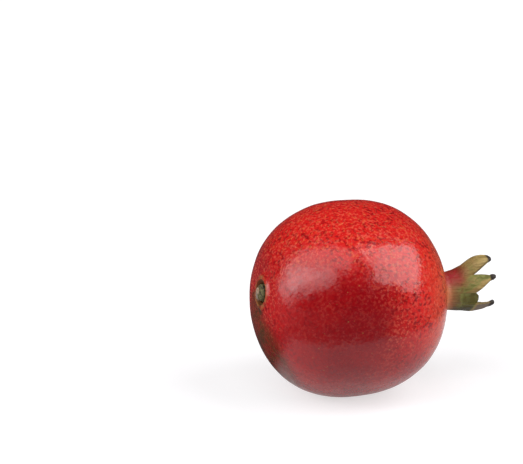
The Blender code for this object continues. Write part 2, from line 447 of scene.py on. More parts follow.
def reshape(shell: bmesh.types.BMesh, *forms: Form) -> None:
    """Moves each vertex through one form after another.

    Args:
        shell: The mesh to bend.
        forms: What takes a point to where it moves.
    """
    for vertex in shell.verts:
        for form in forms:
            vertex.co = form(vertex.co.copy())
    shell.normal_update()


def finished(name: str, shell: bmesh.types.BMesh, finish: bpy.types.Material) -> bpy.types.Object:
    """Makes a smooth-shaded piece of a mesh, and frees the mesh.

    Args:
        name: The piece's name.
        shell: Its mesh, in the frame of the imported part.
        finish: Its material.

    Returns:
        The piece, with its object at the origin.
    """
    mesh = bpy.data.meshes.new(name)
    for face in shell.faces:
        face.smooth = True
    shell.to_mesh(mesh)
    shell.free()
    mesh.materials.append(finish)
    piece = bpy.data.objects.new(name, mesh)
    bpy.context.scene.collection.objects.link(piece)
    return piece


def stand_for(piece: bpy.types.Object, node: Node) -> None:
    """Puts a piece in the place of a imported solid.

    Args:
        piece: The finished piece.
        node: The solid that it stands for.
    """
    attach(piece, Body.ROOT.value)
    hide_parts(node.value)


class Paint:
    """A material's nodes, built up one at a time. Lengths in it are in metres."""

    def __init__(self, name: str) -> None:
        """Starts a material.

        Args:
            name: The material's name.
        """
        self.material = bpy.data.materials.new(name)
        self.material.use_nodes = True
        self.tree = self.material.node_tree
        self.shader = self.tree.nodes["Principled BSDF"]
        self.place = self.add("ShaderNodeTexCoord").outputs["Object"]

    def add(self, kind: str, **settings: object) -> bpy.types.Node:
        """Adds a node.

        Args:
            kind: Its type.
            settings: What to set on it.

        Returns:
            The node.
        """
        node = self.tree.nodes.new(kind)
        for name, value in settings.items():
            setattr(node, name, value)
        return node

    def feed(self, socket: Socket, source: object) -> None:
        """Gives a socket its value.

        Args:
            socket: The socket.
            source: Another node's output, or a plain value.
        """
        if isinstance(source, bpy.types.NodeSocket):
            self.tree.links.new(source, socket)
        elif isinstance(source, tuple) and socket.type == "RGBA":
            socket.default_value = (*source, 1)
        else:
            socket.default_value = source

    def centred(self, centre: Vector, stretch: Way = (1, 1, 1)) -> Socket:
        """The place on the piece, measured from a centre.

        Args:
            centre: Where the pattern is centred.
            stretch: How much finer the pattern is along each axis.

        Returns:
            The centred place.
        """
        moved = self.add("ShaderNodeMapping", vector_type="POINT")
        self.feed(moved.inputs["Vector"], self.place)
        self.feed(moved.inputs["Location"], -Vector(centre) * Vector(stretch))
        self.feed(moved.inputs["Scale"], stretch)
        return moved.outputs["Vector"]

    def direction(self, centre: Vector, stretch: Way = (1, 1, 1)) -> Socket:
        """The direction from a centre to the place on the piece.

        Args:
            centre: The centre.
            stretch: What each axis counts for. An axis of 0 is left out.

        Returns:
            A vector of length 1.
        """
        unit = self.add("ShaderNodeVectorMath", operation="NORMALIZE")
        self.feed(unit.inputs[0], self.centred(centre, stretch))
        return unit.outputs["Vector"]

    def facing(self, direction: Socket, way: Iterable[float], low: float, high: float) -> Socket:
        """How nearly a direction points a given way.

        Args:
            direction: The direction.
            way: The way to compare it with.
            low: The cosine of their angle below which the answer is 0.
            high: The cosine above which it is 1.

        Returns:
            A share from 0 to 1.
        """
        dot = self.add("ShaderNodeVectorMath", operation="DOT_PRODUCT")
        self.feed(dot.inputs[0], direction)
        self.feed(dot.inputs[1], Vector(tuple(way)).normalized())
        return self.fade(dot.outputs["Value"], low, high)

    def mark(self, mark: Mark) -> Socket:
        """What the piece's vertices carry as a mark."""
        return self.add("ShaderNodeAttribute", attribute_name=mark.value).outputs["Fac"]

    def grain(
        self, size: float, detail: float = 2, where: Socket | None = None, warp: float = 0
    ) -> Socket:
        """Soft random patches.

        Args:
            size: Roughly how wide one patch is.
            detail: How much finer structure it has.
            where: The place to read it at. Without it, the place on the piece.
            warp: How much it is distorted.

        Returns:
            A value that is mostly from 0.3 to 0.7.
        """
        made = self.add("ShaderNodeTexNoise")
        self.feed(made.inputs["Vector"], where or self.place)
        self.feed(made.inputs["Scale"], 1 / size)
        self.feed(made.inputs["Detail"], detail)
        self.feed(made.inputs["Distortion"], warp)
        return made.outputs["Fac"]

    def dots(self, pitch: float, radius: float, blur: float) -> Socket:
        """Round dots, scattered at random.

        Args:
            pitch: Roughly how far apart they are.
            radius: How wide a dot is at most.
            blur: How soft its edge is.

        Returns:
            1 in a dot and 0 between the dots.
        """
        made = self.add("ShaderNodeTexVoronoi", feature="F1")
        self.feed(made.inputs["Vector"], self.place)
        self.feed(made.inputs["Scale"], 1 / pitch)
        return self.fade(made.outputs["Distance"], (radius + blur) / pitch, radius / pitch)

    def fade(
        self, source: Socket, low: float, high: float, to_low: float = 0, to_high: float = 1
    ) -> Socket:
        """A smooth rise from one value to another.

        Args:
            source: What the rise follows.
            low: The source's value where the rise starts.
            high: The source's value where it ends.
            to_low: The answer where it starts.
            to_high: The answer where it ends.

        Returns:
            The answer.
        """
        made = self.add("ShaderNodeMapRange", interpolation_type="SMOOTHSTEP")
        for name, value in (
            ("Value", source),
            ("From Min", low),
            ("From Max", high),
            ("To Min", to_low),
            ("To Max", to_high),
        ):
            self.feed(made.inputs[name], value)
        return made.outputs["Result"]

    def join(self, operation: str, first: object, second: object) -> Socket:
        """A sum, product or other sum of two numbers.

        Args:
            operation: The name of the Math node's operation.
            first: The first number.
            second: The second number.

        Returns:
            The answer.
        """
        made = self.add("ShaderNodeMath", operation=operation)
        self.feed(made.inputs[0], first)
        self.feed(made.inputs[1], second)
        return made.outputs["Value"]

    def both(self, first: object, second: object, *others: object) -> Socket:
        """The product of two or more shares."""
        made = self.join("MULTIPLY", first, second)
        for other in others:
            made = self.join("MULTIPLY", made, other)
        return made

    def blend(self, share: object, first: object, second: object, how: str = "MIX") -> Socket:
        """Lays one colour over another.

        Args:
            share: How much of the second colour shows.
            first: The colour below.
            second: The colour above.
            how: The blending mode.

        Returns:
            The colour.
        """
        made = self.add("ShaderNodeMix", data_type="RGBA", blend_type=how)
        self.feed(made.inputs[0], share)
        self.feed(made.inputs[6], first)
        self.feed(made.inputs[7], second)
        return made.outputs[2]

    def dent(self, height: Socket, depth: float, below: Socket | None = None) -> Socket:
        """Fine relief.

        Args:
            height: The relief's height, from 0 to 1.
            depth: What a height of 1 measures.
            below: The relief that this one lies on.

        Returns:
            The surface's normal.
        """
        made = self.add("ShaderNodeBump")
        self.feed(made.inputs["Distance"], depth)
        self.feed(made.inputs["Height"], height)
        if below:
            self.feed(made.inputs["Normal"], below)
        return made.outputs["Normal"]

    def finish(self, **sockets: object) -> bpy.types.Material:
        """Sets the shader's sockets.

        Args:
            sockets: What each socket gets, with _ for a space in its name.

        Returns:
            The material.
        """
        for name, value in sockets.items():
            self.feed(self.shader.inputs[name.replace("_", " ").title().replace("Ior", "IOR")], value)
        return self.material


@dataclass(frozen=True)
class RindFinish:
    """The leathery skin: speckled red, orange at the calyx, olive at the stalk, dry at the tips."""

    shape: FruitShape
    crimson: Colour = (0.33, 0.003, 0.006)
    scarlet: Colour = (0.62, 0.014, 0.011)
    dark_red: Colour = (0.17, 0.001, 0.004)
    coral: Colour = (0.74, 0.12, 0.068)
    amber: Colour = (0.68, 0.20, 0.05)
    orange: Colour = (0.52, 0.095, 0.035)
    # The stalk end's russet, made darker as painted shadow; also used in the hollow round the stalk.
    olive: Colour = (0.075, 0.026, 0.006)
    blush: Colour = (0.58, 0.145, 0.060)
    flush: Colour = (0.33, 0.004, 0.010)
    straw: Colour = (0.37, 0.260, 0.085)
    # The calyx tube's own tan, also painted on the stalk's collar as a highlight.
    tan: Colour = (0.30, 0.115, 0.038)
    bark: Colour = (0.13, 0.082, 0.014)
    leaf: Colour = (0.20, 0.215, 0.050)
    dark_leaf: Colour = (0.095, 0.082, 0.004)
    ash: Colour = (0.17, 0.125, 0.085)
    # The withered tips' dark brown, also used for the painted shade under the calyx tube.
    tip: Colour = (0.022, 0.013, 0.008)
    stalk_shade: Way = (-0.88, -0.02, -0.47)
    below_stalk: Way = (-0.99, 0.07, -0.02)
    top: Way = (0.10, 0.05, 1)
    crown_end: Way = (1, -0.15, -0.05)
    right_side: Way = (0.75, -0.60, 0.15)
    deep_front: Way = (-0.33, -0.92, 0.05)
    calm_front: Way = (-0.50, -0.86, 0.05)
    below: Way = (0, 0, -1)
    calyx_top: Way = (0, -0.30, 1)
    calyx_below: Way = (0, -0.36, -1)
    collar_edge: Span = (11.0, 9.0)
    hollow_edge: Span = (8.2, 7.4)
    dry_from: Span = (0.0400, 0.0450)
    neck_blush: Span = (0.0360, 0.0430)
    neck_end: Span = (0.0405, 0.0465)
    tube_bark: Span = (0.0440, 0.0485)
    lobes_from: Span = (0.0490, 0.0540)
    flush_from: Span = (0.0380, 0.0420)
    flush_to: Span = (0.0540, 0.0480)
    # Heights where the painted shade under the calyx tube starts and ends.
    underside_shade_from: Span = (0.0440, 0.0470)
    underside_shade_to: Span = (0.0560, 0.0540)

    def stalk_end(self, paint: Paint, way: Socket) -> Socket:
        """Where the skin is olive beside and below the stalk, partly its own russet and partly painted
        shadow.

        Args:
            paint: The material.
            way: The direction from the body's centre.

        Returns:
            A share from 0 to 1.
        """
        side = paint.facing(way, self.stalk_shade, 0.84, 0.95)
        below = paint.facing(way, self.below_stalk, 0.972, 0.988)
        return paint.join("MAXIMUM", side, below)

    def ground(self, paint: Paint, way: Socket) -> Socket:
        """The body's colour below its speckles, with painted shade on the front and towards the bottom.

        Args:
            paint: The material.
            way: The direction from the body's centre.

        Returns:
            The colour.
        """
        top = paint.facing(way, self.top, 0.30, 0.80)
        crown_end = paint.facing(way, self.crown_end, 0.55, 0.95)
        stalk_side = self.stalk_end(paint, way)
        ragged = paint.fade(paint.grain(0.006, 3), 0.35, 0.65, 0.6, 1)
        sway = paint.fade(paint.grain(0.020, 3, warp=0.6), 0.40, 0.62, 0, 0.3)
        right_side = paint.facing(way, self.right_side, 0.62, 1.00)
        ground = paint.blend(sway, self.crimson, self.scarlet)
        # Painted shade: darker red on the front of the body.
        deep = paint.facing(way, self.deep_front, 0.72, 0.97)
        ground = paint.blend(paint.both(deep, 0.5), ground, self.dark_red)
        ground = paint.blend(right_side, ground, self.scarlet)
        ground = paint.blend(paint.both(top, 0.72), ground, self.scarlet)
        # Painted shade: darker red towards the bottom.
        underside = paint.facing(way, self.below, -0.15, 0.45)
        ground = paint.blend(paint.both(underside, 0.25), ground, self.dark_red)
        ground = paint.blend(paint.both(crown_end, ragged, 0.8), ground, self.orange)
        # Painted shadow: the olive beside and below the stalk is partly shade, partly the skin's russet.
        return paint.blend(paint.both(stalk_side, ragged), ground, self.olive)

    def skin(self, paint: Paint) -> Socket:
        """The colour of the body.

        Args:
            paint: The material.

        Returns:
            The colour.
        """
        way = paint.direction(self.shape.centre)
        top = paint.facing(way, self.top, 0.10, 0.75)
        front = paint.facing(way, self.calm_front, 0.66, 0.93)
        stalk_side = self.stalk_end(paint, way)
        patch = paint.grain(0.012, 3, warp=0.4)
        colour = self.ground(paint, way)

        blots = paint.fade(paint.grain(0.0016, 3), 0.50, 0.40)
        blot_share = paint.fade(patch, 0.65, 0.35, 0.3, 0.8)
        soft = paint.fade(front, 0, 1, 1, 0.6)
        colour = paint.blend(paint.both(blots, blot_share, soft), colour, self.dark_red)

        busy = paint.fade(patch, 0.3, 0.65, 0.45, 1)
        calm = paint.fade(front, 0, 1, 1, 0.22)
        bare = paint.fade(stalk_side, 0, 1, 1, 0.25)
        fine = paint.fade(paint.grain(0.0011, 2), 0.50, 0.62)
        low = paint.facing(way, self.below, -0.1, 0.5)
        sparse = paint.fade(low, 0, 1, 1, 0.45)
        colour = paint.blend(paint.both(fine, busy, calm, bare, sparse, 0.48), colour, self.coral)
        glints = paint.fade(paint.grain(0.0015, 2), 0.58, 0.68)
        colour = paint.blend(paint.both(glints, top, calm, 0.25), colour, self.amber)
        pores = paint.dots(0.0031, 0.00016, 0.00020)
        colour = paint.blend(paint.both(pores, 0.4), colour, self.straw)
        return self.stalk_seat(paint, way, colour)

    def stalk_seat(self, paint: Paint, way: Socket, skin: Socket) -> Socket:
        """The dark olive hollow round the stalk, partly painted shade, and a tan ring on the collar's
        crest, a painted highlight.

        Args:
            paint: The material.
            way: The direction from the body's centre.
            skin: The colour of the body.

        Returns:
            The colour.
        """
        stalk = self.shape.laid_down.to_3x3() @ self.shape.stalk_direction
        edges = (self.hollow_edge, self.collar_edge)
        hollow, collar = (
            paint.facing(way, stalk, *(math.cos(math.radians(angle)) for angle in edge))
            for edge in edges
        )
        # Painted highlight: a broken tan ring where the collar's crest catches light.
        collar_highlight_patches = paint.fade(paint.grain(0.0024, 3), 0.42, 0.60, 0.12, 0.80)
        colour = paint.blend(paint.both(collar, collar_highlight_patches), skin, self.tan)
        # Painted shade, partly the stalk end's russet: dark olive in the hollow round the stalk.
        return paint.blend(paint.both(hollow, 0.9), colour, self.olive)

    def calyx(self, paint: Paint, skin: Socket) -> Socket:
        """The colour of the calyx, which takes over from the body's at the neck.

        Args:
            paint: The material.
            skin: The body's colour.

        Returns:
            The colour.
        """
        height = paint.mark(Mark.HEIGHT)
        green = paint.mark(Mark.GREEN)
        off_axis = paint.direction(self.shape.centre, (0, 1, 1))
        upper = paint.facing(off_axis, self.calyx_top, 0.35, 0.95)
        fibres = paint.grain(0.0009, 3, paint.centred(self.shape.centre, (0.15, 1, 1)))
        streak = paint.fade(fibres, 0.36, 0.64)
        mottle = paint.fade(paint.grain(0.0022, 3, warp=0.5), 0.38, 0.62)

        tube = paint.blend(paint.fade(height, *self.tube_bark), self.tan, self.bark)
        tube = paint.blend(paint.both(streak, 0.25), tube, self.straw)
        lobe = paint.blend(paint.both(streak, 0.45), self.straw, self.bark)
        colour = paint.blend(paint.fade(height, *self.lobes_from), tube, lobe)
        colour = paint.blend(paint.fade(green, 0, -1), colour, self.ash)
        ragged_green = paint.join("ADD", green, paint.fade(mottle, 0, 1, -0.15, 0.15))
        colour = paint.blend(paint.fade(ragged_green, 0.05, 0.6), colour, self.leaf)
        colour = paint.blend(paint.fade(ragged_green, 0.35, 1.00), colour, self.dark_leaf)
        rim = paint.fade(paint.mark(Mark.EDGE), 0.40, 0.90)
        colour = paint.blend(paint.both(rim, 0.75), colour, self.bark)
        # Painted shade: a dark band along the underside of the calyx tube.
        under = paint.facing(off_axis, self.calyx_below, 0.86, 0.99)
        calyx_underside_shade = paint.fade(height, *self.underside_shade_from)
        calyx_underside_shade = paint.both(under, calyx_underside_shade, paint.fade(height, *self.underside_shade_to))
        colour = paint.blend(paint.both(calyx_underside_shade, 0.7), colour, self.tip)
        colour = paint.blend(paint.both(paint.mark(Mark.INSIDE), 0.5), colour, self.straw)
        colour = paint.blend(paint.fade(paint.mark(Mark.TIP), 0.73, 0.88), colour, self.tip)
        neck = paint.blend(paint.fade(height, *self.neck_blush), skin, self.blush)
        colour = paint.blend(paint.fade(height, *self.neck_end), neck, colour)
        root = paint.both(
            paint.fade(height, *self.flush_from), paint.fade(height, *self.flush_to)
        )
        flushed = paint.both(upper, root, paint.fade(mottle, 0, 1, 0.80, 1))
        return paint.blend(flushed, colour, self.flush)

    def build(self) -> bpy.types.Material:
        """The material."""
        paint = Paint("leathery_rind")
        dry = paint.fade(paint.mark(Mark.HEIGHT), *self.dry_from)
        pebbles = paint.dent(paint.grain(0.0046, 3), 0.00022)
        pits = paint.dent(paint.grain(0.0013, 3), 0.00005, pebbles)
        fibres = paint.grain(0.0008, 3, paint.centred(self.shape.centre, (0.1, 1, 1)))
        relief = paint.dent(paint.both(fibres, dry), 0.0004, pits)
        gloss = paint.fade(paint.grain(0.0022, 3), 0.35, 0.65, 0.15, 0.28)
        roughness = paint.join("ADD", gloss, paint.both(dry, 0.42))
        return paint.finish(
            base_color=self.calyx(paint, self.skin(paint)),
            roughness=roughness,
            normal=relief,
            ior=1.48,
        )


@dataclass
class Rind:
    """The fruit itself: body, calyx tube and lobes, grown as one closed skin round the cup."""

    shape: FruitShape
    columns_per_lobe: int = 36
    body_rings: int = 104
    crowding: float = 1.25
    shoulder_angle: float = math.radians(162.5)
    slope_step: float = 0.01
    shoulder_pull: float = 0.0035
    neck: tuple[float, float] = (0.0082, 0.0447)
    neck_pull: float = 0.0018
    fillet_points: int = 14
    hinge_radius: float = 0.0088
    lobe_radius: float = 0.0098
    tube_rings: int = 8
    lobe_rings: int = 30
    wall: float = 0.0022
    rim_wall: float = 0.0009
    lip_points: int = 5
    floor_height: float = 0.0428
    floor_radius: float = 0.0055
    socket_radius: float = 0.0042
    socket_depth: float = 0.0021
    socket_rounding: float = 0.0004
    undulation: float = 0.00022
    undulation_size: float = 0.017
    finer: float = 2.3
    finer_share: float = 0.4
    calm_stalk_end: tuple[float, float] = (0.10, 0.35)
    wrinkle: float = 0.00022
    folds: tuple[tuple[float, float, float], ...] = ((1, 6, 0.012), (0.5, 14, 0.009))
    rim_share: float = 0.25
    dry_share: float = 1.0
    greening: tuple[float, float] = (0.0462, 0.0518)
    lobe_takeover: tuple[float, float] = (0.0546, 0.0572)
    knob_start: float = 0.72
    knob_full: float = 0.90

    def wall_at(self, height: float) -> float:
        """The calyx wall's thickness at a height above the body's centre."""
        thinned = smooth_step(self.shape.notch_height, self.shape.plan_tip, height)
        return self.wall + (self.rim_wall - self.wall) * thinned

    def outside(self) -> list[Vector]:
        """The outline from the stalk's socket up to the lip of the lobes.

        Returns:
            Points of radius and height.
        """
        shape = self.shape
        start = math.asin(self.socket_radius / shape.stalk_pole)
        rounding = self.socket_rounding
        top = shape.body_point(start)
        floor = top.y + self.socket_depth
        socket = [
            Vector((0, floor)),
            Vector((self.socket_radius * 0.6, floor)),
            Vector((self.socket_radius, floor)),
            Vector((self.socket_radius, top.y + rounding)),
            Vector((self.socket_radius + rounding * 0.3, top.y + rounding * 0.3)),
        ]
        first = math.asin((self.socket_radius + rounding) / shape.stalk_pole)
        spans = [(i / self.body_rings) ** self.crowding for i in range(self.body_rings + 1)]
        body = [
            shape.body_point(first + (self.shoulder_angle - first) * share) for share in spans
        ]
        shoulder = body[-1]
        slope = (shoulder - shape.body_point(self.shoulder_angle - self.slope_step)).normalized()
        neck = Vector(self.neck)
        pulled = (shoulder + slope * self.shoulder_pull, neck - Vector((0, self.neck_pull)))
        corners = [point.to_3d() for point in (shoulder, *pulled, neck)]
        fillet = [point.to_2d() for point in interpolate_bezier(*corners, self.fillet_points)]
        hinge = Vector((self.hinge_radius, shape.hinge_height))
        lip_base = Vector((self.lobe_radius, shape.plan_tip - self.rim_wall / 2))
        tube = [neck.lerp(hinge, (i + 1) / self.tube_rings) for i in range(self.tube_rings)]
        lobe = [hinge.lerp(lip_base, (i + 1) / self.lobe_rings) for i in range(self.lobe_rings)]
        return [*socket, *body, *fillet[1:], *tube, *lobe]

    def outline(self) -> tuple[list[Vector], list[float]]:
        """The whole outline, from the socket over the lip and down into the cup.

        Returns:
            Points of radius and height, and for each whether it is inside the cup.
        """
        outer = self.outside()
        neck_height = self.neck[1]
        half_wall = self.rim_wall / 2
        lip_centre = Vector((self.lobe_radius - half_wall, self.shape.plan_tip - half_wall))
        turns = [math.pi * (i + 1) / (self.lip_points + 1) for i in range(self.lip_points)]
        lip = [lip_centre + half_wall * Vector((math.cos(a), math.sin(a))) for a in turns]
        climbed = [point for point in outer if point.y >= neck_height]
        inner = [point - Vector((self.wall_at(point.y), 0)) for point in reversed(climbed)]
        cup = [inner[-1], Vector((self.floor_radius, self.floor_height)), Vector((0, self.floor_height))]
        cup = rounded(cup, 3)[1:]
        points = [*outer, *lip, *inner, *cup]
        inside = [0.0] * len(outer) + [0.5] * len(lip) + [1.0] * (len(inner) + len(cup))
        return points, inside

    def weathered(self, point: Vector) -> Vector:
        """Gives the skin its slow undulation, and the calyx its wrinkles.

        Args:
            point: A point of the shaped fruit.

        Returns:
            Where it moves.
        """
        reach = point.length
        on_calyx = smooth_step(self.neck[1] - 0.002, self.shape.hinge_height, point.z)
        slow = noise.noise(point / self.undulation_size)
        slow += self.finer_share * noise.noise(point / self.undulation_size * self.finer)
        off_stalk = smooth_step(*self.calm_stalk_end, point.angle(self.shape.stalk_direction))
        skin = point * (1 + self.undulation * slow * off_stalk * (1 - on_calyx) / reach)
        if on_calyx == 0:
            return skin
        turn = math.atan2(point.y, point.x)
        around = Vector((math.cos(turn), math.sin(turn), 0))
        return skin + around * self.wrinkle * rippled(around, point.z, self.folds) * on_calyx

    def shell(self) -> bmesh.types.BMesh:
        """The skin as a closed mesh, laid down and cut flat where it rests.

        Returns:
            The mesh.
        """
        shape = self.shape
        points, inside = self.outline()
        shell = turned(points, self.columns_per_lobe * len(shape.lobes), {Mark.INSIDE: inside})
        self.mark_lobes(shell)
        self.swell_tips(shell)
        reshape(
            shell,
            shape.stalk_form,
            shape.skin_form,
            self.weathered,
            shape.calyx_bend,
        )
        shell.transform(shape.laid_down)
        bmesh.ops.recalc_face_normals(shell, faces=shell.faces)
        self.flatten(shell)
        return shell

    def mark_lobes(self, shell: bmesh.types.BMesh) -> None:
        """Stores on the turned skin where each vertex comes to lie on its lobe.

        Args:
            shell: The turned skin, before its forms.
        """
        shape = self.shape
        names = (Mark.HEIGHT, Mark.TIP, Mark.EDGE, Mark.GREEN)
        layers = {mark: shell.verts.layers.float.new(mark.value) for mark in names}
        for vertex in shell.verts:
            index, across = shape.lobe_at(vertex.co)
            lobe = shape.lobes[index]
            height = shape.lobe_form(vertex.co).z
            above = (height - shape.notch_height) / lobe.length
            top = shape.lobe_top(lobe, min(1.0, abs(across)))
            vertex[layers[Mark.HEIGHT]] = height
            vertex[layers[Mark.TIP]] = max(0.0, above)
            vertex[layers[Mark.EDGE]] = smooth_step(top - self.rim_share, top, above)
            dried = smooth_step(top - self.dry_share, top - self.dry_share / 2, above)
            dried *= lobe.dry_side * smooth_step(-0.1, 0.2, across)
            tube = shape.tube_green(index, across) * smooth_step(*self.greening, height)
            on_lobe = smooth_step(*self.lobe_takeover, height)
            green = tube + (lobe.green - tube) * on_lobe
            vertex[layers[Mark.GREEN]] = green * (1 - dried)

    def swell_tips(self, shell: bmesh.types.BMesh) -> None:
        """Shapes the lobes, and swells the withered end of each into a small hard knob.

        Args:
            shell: The skin, still turned plainly.
        """
        shape = self.shape
        tip = shell.verts.layers.float[Mark.TIP.value]
        ends: dict[int, list[bmesh.types.BMVert]] = {}
        for vertex in shell.verts:
            if vertex[tip] > self.knob_start:
                ends.setdefault(shape.lobe_at(vertex.co)[0], []).append(vertex)
        reshape(shell, shape.lobe_form)
        for index, end in ends.items():
            core = [vertex.co.copy() for vertex in end if vertex[tip] > self.knob_full]
            middle = sum(core, Vector()) / len(core)
            for vertex in end:
                swollen = smooth_step(self.knob_start, self.knob_full, vertex[tip])
                away = (vertex.co - middle).normalized()
                vertex.co += away * shape.lobes[index].knob * swollen

    def flatten(self, shell: bmesh.types.BMesh) -> None:
        """Cuts the small flat spot that the fruit rests on.

        Args:
            shell: The laid-down skin.
        """
        cut = bmesh.ops.bisect_plane(
            shell,
            geom=[*shell.verts, *shell.edges, *shell.faces],
            dist=MERGE / 10,
            plane_co=(0, 0, 0),
            plane_no=(0, 0, 1),
            clear_inner=True,
            clear_outer=False,
        )
        rim = [part for part in cut["geom_cut"] if isinstance(part, bmesh.types.BMEdge)]
        bmesh.ops.holes_fill(shell, edges=rim, sides=0)
        for edge in rim:
            edge.smooth = False

    def build(self) -> bpy.types.Object:
        """The dressed rind, in the place of its solid."""
        piece = finished("pomegranate_rind", self.shell(), RindFinish(self.shape).build())
        stand_for(piece, Node.FRUIT)
        return piece


@dataclass(frozen=True)
class StalkFinish:
    """Weathered stalk wood, olive-brown, with a pale cut face."""

    shape: FruitShape
    bark: Colour = (0.075, 0.062, 0.018)
    bark_light: Colour = (0.17, 0.145, 0.055)
    shadow: Colour = (0.025, 0.015, 0.005)
    cut_wood: Colour = (0.36, 0.27, 0.20)
    pith: Colour = (0.24, 0.13, 0.06)

    def build(self) -> bpy.types.Material:
        """The material."""
        paint = Paint("stalk_wood")
        cut = paint.mark(Mark.CUT)
        along = paint.centred(Vector(), (0.25, 1, 1))
        fibres = paint.grain(0.0005, 4, along)
        bark = paint.blend(paint.fade(fibres, 0.4, 0.62), self.bark, self.bark_light)
        bark = paint.blend(paint.fade(paint.grain(0.0016, 3), 0.5, 0.36), bark, self.shadow)
        rings = paint.fade(paint.grain(0.0004, 4), 0.35, 0.65)
        wood = paint.blend(rings, self.cut_wood, self.pith)
        return paint.finish(
            base_color=paint.blend(paint.fade(cut, 0.05, 0.2), bark, wood),
            roughness=0.75,
            normal=paint.dent(fibres, 0.0003),
        )


@dataclass
class StemStub:
    """The woody stub of the stalk, cut off just above the skin, in its socket."""

    shape: FruitShape
    radius: float = 0.0039
    sunk: float = 0.0018
    outline: tuple[tuple[float, float], ...] = (
        (0, 0.0050),
        (0.0012, 0.0050),
        (0.0015, 0.0046),
        (0.0017, 0.0040),
        (0.0027, 0.0038),
        (0.0035, 0.0033),
        (0.0036, 0.0026),
        (0.0035, 0.0021),
        (0.0039, 0.0015),
        (0.0039, 0),
        (0, 0),
    )
    aside: float = 0.0007
    aside_from: float = 0.0024
    rounds: int = 2
    steps: int = 96
    cut_radius: float = 0.0015
    cut_height: float = 0.0040
    cut_share: float = 0.7
    clear_of_seat: tuple[float, float] = (0.0012, 0.0024)
    fluting: float = 0.00022
    flutes: tuple[tuple[float, float, float], ...] = ((1, 2.3, 0.012), (0.6, 6, 0.008))
    chips: float = 0.00012
    chip_size: float = 0.0009

    def leaning(self, point: Vector) -> Vector:
        """Carries the cut end towards the top of the lying fruit.

        Args:
            point: A point of the stub, in its own frame.

        Returns:
            Where it moves.
        """
        upwards = self.shape.stub_seat(self.sunk).to_3x3().inverted() @ Vector((-1, 0, 0))
        upwards.z = 0
        top = max(height for _, height in self.outline)
        return point + upwards.normalized() * self.aside * smooth_step(self.aside_from, top, point.z)

    def weathered(self, point: Vector) -> Vector:
        """Gives the stub its flutes and its rough cut face.

        Args:
            point: A point of the turned stub.

        Returns:
            Where it moves.
        """
        radius = math.hypot(point.x, point.y)
        if radius < MERGE:
            return point
        clear = smooth_step(*self.clear_of_seat, point.z)
        around = Vector((point.x / radius, point.y / radius, 0))
        flutes = rippled(around, point.z, self.flutes)
        rough = noise.noise(point / self.chip_size) * self.chips * clear
        inwards = -abs(flutes) * self.fluting * clear * radius / self.radius
        return point + around * inwards + Vector((0, 0, rough - self.chips * clear))

    def build(self) -> bpy.types.Object:
        """The dressed stub, in the place of its solid."""
        points = rounded([Vector(point) for point in self.outline], self.rounds)
        cut = [
            self.cut_share if point.x < self.cut_radius and point.y > self.cut_height else 0.0
            for point in points
        ]
        shell = turned(points, self.steps, {Mark.CUT: cut})
        reshape(shell, self.weathered, self.leaning)
        shell.transform(self.shape.laid_down @ self.shape.stub_seat(self.sunk))
        piece = finished("stalk_stub", shell, StalkFinish(self.shape).build())
        stand_for(piece, Node.STEM_STUB)
        return piece


@dataclass(frozen=True)
class StamenRing:
    """One ring of stamens: its radius on the disc, how many it has, and how long they are."""

    radius: float
    count: int
    length: float


@dataclass(frozen=True)
class StamenFinish:
    """Dead, dry stamens: brown threads with paler dusty heads."""

    thread: Colour = (0.17, 0.085, 0.030)
    thread_dark: Colour = (0.06, 0.028, 0.012)
    head: Colour = (0.42, 0.28, 0.11)

    def build(self) -> bpy.types.Material:
        """The material."""
        paint = Paint("dry_stamen")
        tone = paint.fade(paint.grain(0.0009, 3), 0.38, 0.62)
        thread = paint.blend(tone, self.thread_dark, self.thread)
        dust = paint.fade(paint.grain(0.0003, 2), 0.4, 0.6, 0.5, 1)
        colour = paint.blend(paint.both(paint.mark(Mark.HEAD), dust), thread, self.head)
        return paint.finish(
            base_color=colour,
            roughness=0.85,
            normal=paint.dent(paint.grain(0.0003, 3), 0.0001),
        )


